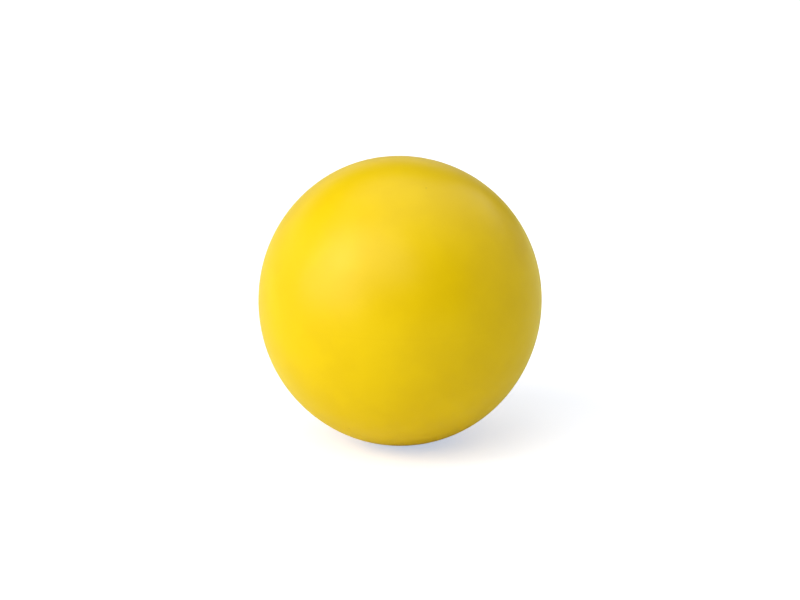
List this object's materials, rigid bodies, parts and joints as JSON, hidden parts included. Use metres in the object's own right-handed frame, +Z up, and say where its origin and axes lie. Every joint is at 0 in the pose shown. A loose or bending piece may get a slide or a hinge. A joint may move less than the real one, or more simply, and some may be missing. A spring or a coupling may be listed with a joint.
{
  "type": "stress ball",
  "caption": "Hand-sized squeezable foam ball with a satin colour coat over a dense skin and a soft foam core; squeezes along its vertical axis and springs back.",
  "frame": {"origin": "middle of the small flat that the ball rests on", "axes": "+Z up through the crown; the squeeze axis is Z, and the parting plane is level, half way up"},
  "size_m": [0.063, 0.063, 0.0644],
  "materials": {
    "colour_coat": "satin",
    "foam_skin": "matt",
    "foam": "open-cell foam, matt"
  },
  "bodies": {
    "lower_half": {"lower_coat": "colour_coat", "lower_skin": "foam_skin", "foam_core": "foam"},
    "upper_half": {"upper_coat": "colour_coat", "upper_skin": "foam_skin"}
  },
  "joints": [
    {"name": "squeeze", "type": "slide", "parent": "lower_half", "child": "upper_half", "axis": [0, 0, -1], "range_m": [0, 0.025], "stiffness_N_per_m": 2200, "deforming": ["upper_coat", "upper_skin", "lower_coat", "lower_skin", "foam_core"]}
  ]
}
